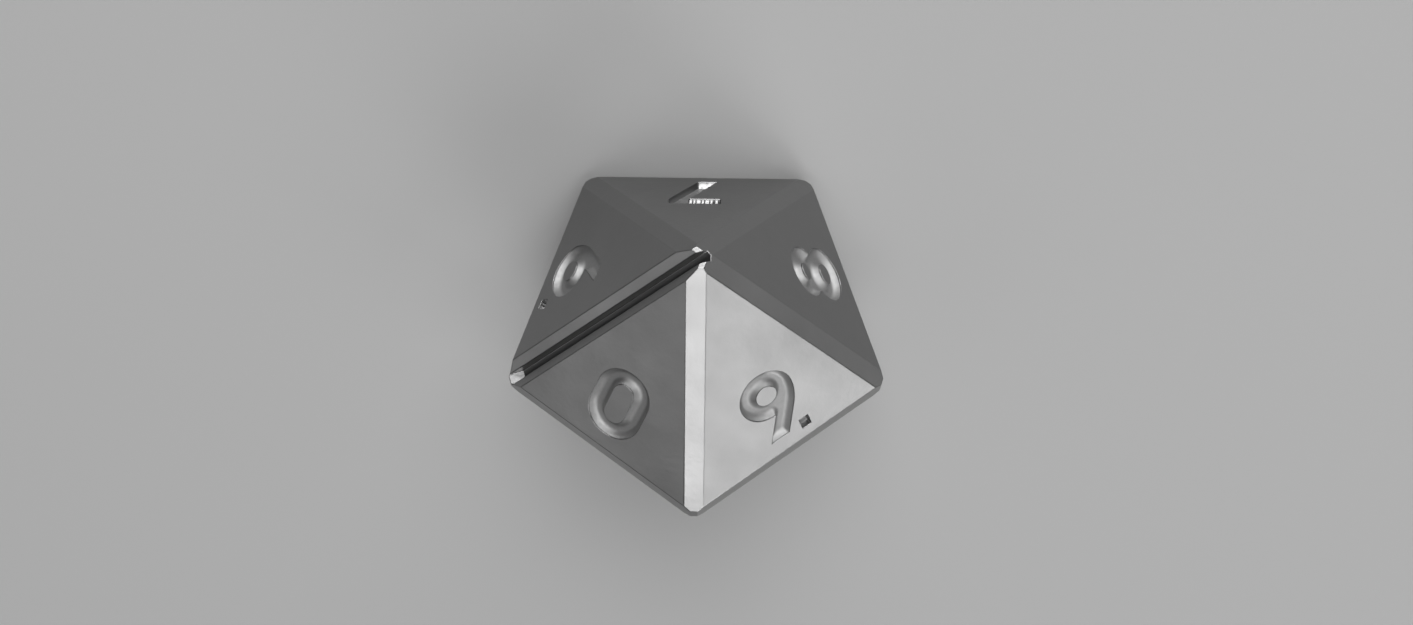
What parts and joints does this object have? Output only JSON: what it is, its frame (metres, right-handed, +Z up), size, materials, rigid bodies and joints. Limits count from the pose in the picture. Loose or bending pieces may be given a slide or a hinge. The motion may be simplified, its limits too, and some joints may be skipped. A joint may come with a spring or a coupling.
{
  "type": "ten-sided numbered die",
  "caption": "Pentagonal bipyramid die with broken edges, engraved and painted numerals, and an index groove along one ridge.",
  "frame": {"origin": "point of the table straight below the centre of the die, on the face that it lies on", "axes": "+Z up from the table, +X along the lowest girdle edge, towards which the resting face widens; -Y is the side that the upper pole leans to"},
  "size_m": [0.0212, 0.0155, 0.0156],
  "materials": {
    "cast_zinc": "satin",
    "numeral_paint": "satin"
  },
  "bodies": {
    "root": {"die_body": "cast_zinc", "ink_0": "numeral_paint", "ink_1": "numeral_paint", "ink_2": "numeral_paint", "ink_3": "numeral_paint", "ink_4": "numeral_paint", "ink_5": "numeral_paint", "ink_6": "numeral_paint", "ink_7": "numeral_paint", "ink_8": "numeral_paint", "ink_9": "numeral_paint", "ink_dot_6": "numeral_paint", "ink_dot_9": "numeral_paint"}
  },
  "joints": []
}
